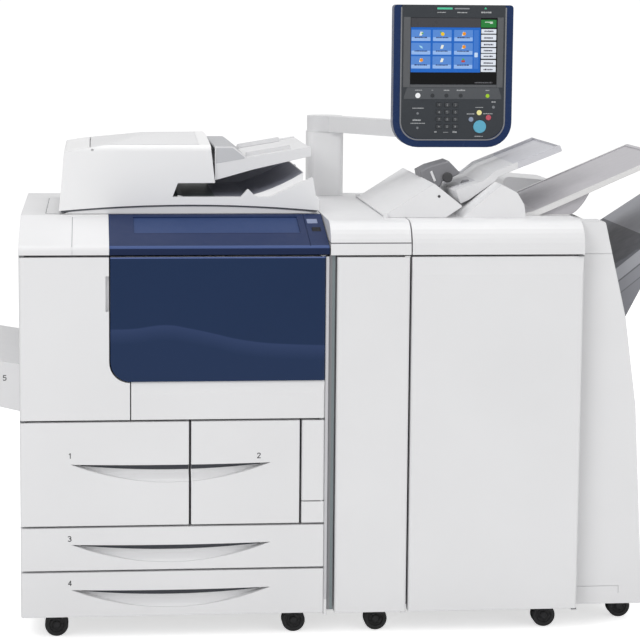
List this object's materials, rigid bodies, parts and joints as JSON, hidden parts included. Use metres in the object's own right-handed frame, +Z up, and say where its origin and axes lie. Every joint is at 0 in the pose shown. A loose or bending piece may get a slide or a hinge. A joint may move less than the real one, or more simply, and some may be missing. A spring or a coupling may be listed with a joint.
{
  "type": "production office printer",
  "caption": "Production office printer with document feeder, paper drawers, swivel touch panel, interface column and finisher with stacker tray, on casters.",
  "frame": {"origin": "middle of the footprint on the floor", "axes": "+X to the right as a person who faces the front sees it, +Y from the front to the back, +Z up"},
  "size_m": [1.8842, 0.77, 1.434],
  "materials": {
    "shell_white": "satin",
    "door_blue": "semi-gloss",
    "mid_grey": "satin",
    "dark_grey": "satin",
    "steel": "satin",
    "platen": "polished",
    "screen": "gloss",
    "key_grey": "satin",
    "start_cyan": "gloss",
    "stop_red": "gloss",
    "drum": "gloss",
    "heat_coat": "gloss",
    "roller_rubber": "matte",
    "toner": "satin",
    "caster_black": "matte",
    "caster_tyre": "matte"
  },
  "bodies": {
    "cabinets": {"engine_frame": "steel", "outer_covers": "shell_white", "scanner_housing": "shell_white", "platen_glass": "platen", "upper_front_panel": "door_blue", "print_unit": "mid_grey", "bypass_tray": "shell_white", "panel_post": "shell_white", "interface_frame": "shell_white", "interface_top_cover": "shell_white", "finisher_frame": "steel", "finisher_top_cover": "shell_white", "finisher_end_cover": "shell_white", "top_output_tray": "shell_white", "insert_tray": "shell_white"},
    "drawer_1": {"drawer_1_front": "shell_white", "drawer_1_tray": "steel"},
    "drawer_2": {"drawer_2_front": "shell_white", "drawer_2_tray": "steel"},
    "drawer_3": {"drawer_3_front": "shell_white", "drawer_3_tray": "steel"},
    "drawer_4": {"drawer_4_front": "shell_white", "drawer_4_tray": "steel"},
    "transport_flap": {"transport_flap": "shell_white"},
    "front_door": {"front_door_base": "shell_white", "front_door_panel": "door_blue"},
    "toner_door": {"toner_door": "shell_white"},
    "power_switch": {"power_switch": "dark_grey"},
    "scan_carriage": {"scan_carriage": "mid_grey"},
    "imaging_drum": {"imaging_drum": "drum"},
    "heat_roller": {"heat_roller": "heat_coat"},
    "pressure_roller": {"pressure_roller": "roller_rubber"},
    "toner_bottle": {"toner_bottle": "toner"},
    "document_feeder": {"feeder_body": "shell_white", "document_tray": "shell_white"},
    "feeder_top_cover": {"feeder_top_cover": "shell_white"},
    "front_paper_guide": {"front_paper_guide": "mid_grey"},
    "rear_paper_guide": {"rear_paper_guide": "mid_grey"},
    "panel_arm": {"panel_arm": "shell_white"},
    "control_panel": {"panel_shell": "door_blue", "panel_bezel": "dark_grey", "panel_screen": "screen"},
    "start_button": {"start_button": "start_cyan"},
    "stop_button": {"stop_button": "stop_red"},
    "number_keys": {"number_keys": "key_grey"},
    "interface_door": {"interface_door": "shell_white"},
    "finisher_door": {"finisher_door": "shell_white"},
    "insert_head": {"insert_head": "shell_white"},
    "stacker_tray": {"stacker_tray": "dark_grey"},
    "caster_fork_1": {"caster_fork_1": "caster_black"},
    "caster_wheel_1": {"caster_wheel_1": "caster_tyre"},
    "caster_fork_2": {"caster_fork_2": "caster_black"},
    "caster_wheel_2": {"caster_wheel_2": "caster_tyre"},
    "caster_fork_3": {"caster_fork_3": "caster_black"},
    "caster_wheel_3": {"caster_wheel_3": "caster_tyre"},
    "caster_fork_4": {"caster_fork_4": "caster_black"},
    "caster_wheel_4": {"caster_wheel_4": "caster_tyre"},
    "caster_fork_5": {"caster_fork_5": "caster_black"},
    "caster_wheel_5": {"caster_wheel_5": "caster_tyre"},
    "rear_wheels": {"rear_wheels": "caster_tyre"}
  },
  "joints": [
    {"name": "drawer_1_slide", "type": "slide", "parent": "cabinets", "child": "drawer_1", "axis": [0, -1, 0], "range_m": [0, 0.42]},
    {"name": "drawer_2_slide", "type": "slide", "parent": "cabinets", "child": "drawer_2", "axis": [0, -1, 0], "range_m": [0, 0.42]},
    {"name": "drawer_3_slide", "type": "slide", "parent": "cabinets", "child": "drawer_3", "axis": [0, -1, 0], "range_m": [0, 0.42]},
    {"name": "drawer_4_slide", "type": "slide", "parent": "cabinets", "child": "drawer_4", "axis": [0, -1, 0], "range_m": [0, 0.42]},
    {"name": "transport_flap_hinge", "type": "hinge", "parent": "cabinets", "child": "transport_flap", "pos_m": [-0.022, -0.379, 0.4], "axis": [0, 0, 1], "range_deg": [0, 95]},
    {"name": "front_door_hinge", "type": "hinge", "parent": "cabinets", "child": "front_door", "pos_m": [-0.022, -0.379, 0.69], "axis": [0, 0, 1], "range_deg": [0, 95]},
    {"name": "toner_door_hinge", "type": "hinge", "parent": "cabinets", "child": "toner_door", "pos_m": [-0.69, -0.379, 0.69], "axis": [0, 0, -1], "range_deg": [0, 95]},
    {"name": "power_switch_rock", "type": "hinge", "parent": "cabinets", "child": "power_switch", "pos_m": [-0.028, -0.28553, 0.92215], "axis": [-1, 0, 0], "range_deg": [0, 16]},
    {"name": "scan_carriage_slide", "type": "slide", "parent": "cabinets", "child": "scan_carriage", "axis": [1, 0, 0], "range_m": [0, 0.54]},
    {"name": "imaging_drum_turn", "type": "hinge", "parent": "cabinets", "child": "imaging_drum", "pos_m": [-0.306, -0.085, 0.699], "axis": [0, 1, 0], "continuous": true},
    {"name": "heat_roller_turn", "type": "hinge", "parent": "cabinets", "child": "heat_roller", "pos_m": [-0.121, -0.085, 0.71315], "axis": [0, 1, 0], "continuous": true},
    {"name": "pressure_roller_turn", "type": "hinge", "parent": "cabinets", "child": "pressure_roller", "pos_m": [-0.121, -0.085, 0.66485], "axis": [0, 1, 0], "continuous": true},
    {"name": "toner_bottle_turn", "type": "hinge", "parent": "cabinets", "child": "toner_bottle", "pos_m": [-0.573, -0.085, 0.709], "axis": [0, 1, 0], "continuous": true},
    {"name": "feeder_hinge", "type": "hinge", "parent": "cabinets", "child": "document_feeder", "pos_m": [-0.311, 0.269, 0.967], "axis": [-1, 0, 0], "range_deg": [0, 60]},
    {"name": "feeder_top_cover_hinge", "type": "hinge", "parent": "document_feeder", "child": "feeder_top_cover", "pos_m": [-0.534, 0.035, 1.0975], "axis": [0, -1, 0], "range_deg": [0, 70]},
    {"name": "front_guide_slide", "type": "slide", "parent": "document_feeder", "child": "front_paper_guide", "axis": [0, 1, 0], "range_m": [0, 0.08]},
    {"name": "rear_guide_slide", "type": "slide", "parent": "document_feeder", "child": "rear_paper_guide", "axis": [0, 1, 0], "range_m": [-0.08, 0]},
    {"name": "panel_arm_swivel", "type": "hinge", "parent": "cabinets", "child": "panel_arm", "pos_m": [0.057, 0.335, 1.13], "axis": [0, 0, 1], "range_deg": [-25, 20]},
    {"name": "panel_tilt", "type": "hinge", "parent": "panel_arm", "child": "control_panel", "pos_m": [0.332, 0.065, 1.131], "axis": [-1, 0, 0], "range_deg": [-5, 30]},
    {"name": "start_button_press", "type": "slide", "parent": "control_panel", "child": "start_button", "axis": [0, 1, 0], "range_m": [0, 0.0015], "stiffness_N_per_m": 400, "springref_m": -0.001},
    {"name": "stop_button_press", "type": "slide", "parent": "control_panel", "child": "stop_button", "axis": [0, 1, 0], "range_m": [0, 0.0015], "stiffness_N_per_m": 400, "springref_m": -0.001},
    {"name": "number_keys_press", "type": "slide", "parent": "control_panel", "child": "number_keys", "axis": [0, 1, 0], "range_m": [0, 0.0015], "stiffness_N_per_m": 400, "springref_m": -0.001},
    {"name": "interface_door_hinge", "type": "hinge", "parent": "cabinets", "child": "interface_door", "pos_m": [0.168, -0.379, 0.46], "axis": [0, 0, 1], "range_deg": [0, 100]},
    {"name": "finisher_door_hinge", "type": "hinge", "parent": "cabinets", "child": "finisher_door", "pos_m": [0.564, -0.379, 0.46], "axis": [0, 0, 1], "range_deg": [0, 100]},
    {"name": "insert_head_hinge", "type": "hinge", "parent": "cabinets", "child": "insert_head", "pos_m": [0.13, -0.035, 0.9543], "axis": [0, -1, 0], "range_deg": [0, 35]},
    {"name": "stacker_tray_lift", "type": "slide", "parent": "cabinets", "child": "stacker_tray", "axis": [0, 0, 1], "range_m": [-0.45, 0]},
    {"name": "caster_1_swivel", "type": "hinge", "parent": "cabinets", "child": "caster_fork_1", "pos_m": [-0.601, -0.315, 0.057], "axis": [0, 0, 1], "continuous": true},
    {"name": "caster_1_roll", "type": "hinge", "parent": "caster_fork_1", "child": "caster_wheel_1", "pos_m": [-0.619, -0.315, 0.0265], "axis": [0, 1, 0], "continuous": true},
    {"name": "caster_2_swivel", "type": "hinge", "parent": "cabinets", "child": "caster_fork_2", "pos_m": [-0.096, -0.315, 0.057], "axis": [0, 0, 1], "continuous": true},
    {"name": "caster_2_roll", "type": "hinge", "parent": "caster_fork_2", "child": "caster_wheel_2", "pos_m": [-0.078, -0.315, 0.0265], "axis": [0, 1, 0], "continuous": true},
    {"name": "caster_3_swivel", "type": "hinge", "parent": "cabinets", "child": "caster_fork_3", "pos_m": [0.094, -0.315, 0.057], "axis": [0, 0, 1], "continuous": true},
    {"name": "caster_3_roll", "type": "hinge", "parent": "caster_fork_3", "child": "caster_wheel_3", "pos_m": [0.112, -0.315, 0.0265], "axis": [0, 1, 0], "continuous": true},
    {"name": "caster_4_swivel", "type": "hinge", "parent": "cabinets", "child": "caster_fork_4", "pos_m": [0.488, -0.315, 0.057], "axis": [0, 0, 1], "continuous": true},
    {"name": "caster_4_roll", "type": "hinge", "parent": "caster_fork_4", "child": "caster_wheel_4", "pos_m": [0.506, -0.315, 0.0265], "axis": [0, 1, 0], "continuous": true},
    {"name": "caster_5_swivel", "type": "hinge", "parent": "cabinets", "child": "caster_fork_5", "pos_m": [0.682, -0.25, 0.057], "axis": [0, 0, 1], "continuous": true},
    {"name": "caster_5_roll", "type": "hinge", "parent": "caster_fork_5", "child": "caster_wheel_5", "pos_m": [0.7, -0.25, 0.0265], "axis": [0, 1, 0], "continuous": true},
    {"name": "rear_wheels_roll", "type": "hinge", "parent": "cabinets", "child": "rear_wheels", "pos_m": [-0.002, 0.305, 0.0265], "axis": [1, 0, 0], "continuous": true}
  ],
  "couplings": [
    {"joint": "rear_guide_slide", "follows": "front_guide_slide", "ratio": -1},
    {"joint": "pressure_roller_turn", "follows": "heat_roller_turn", "ratio": -1}
  ]
}
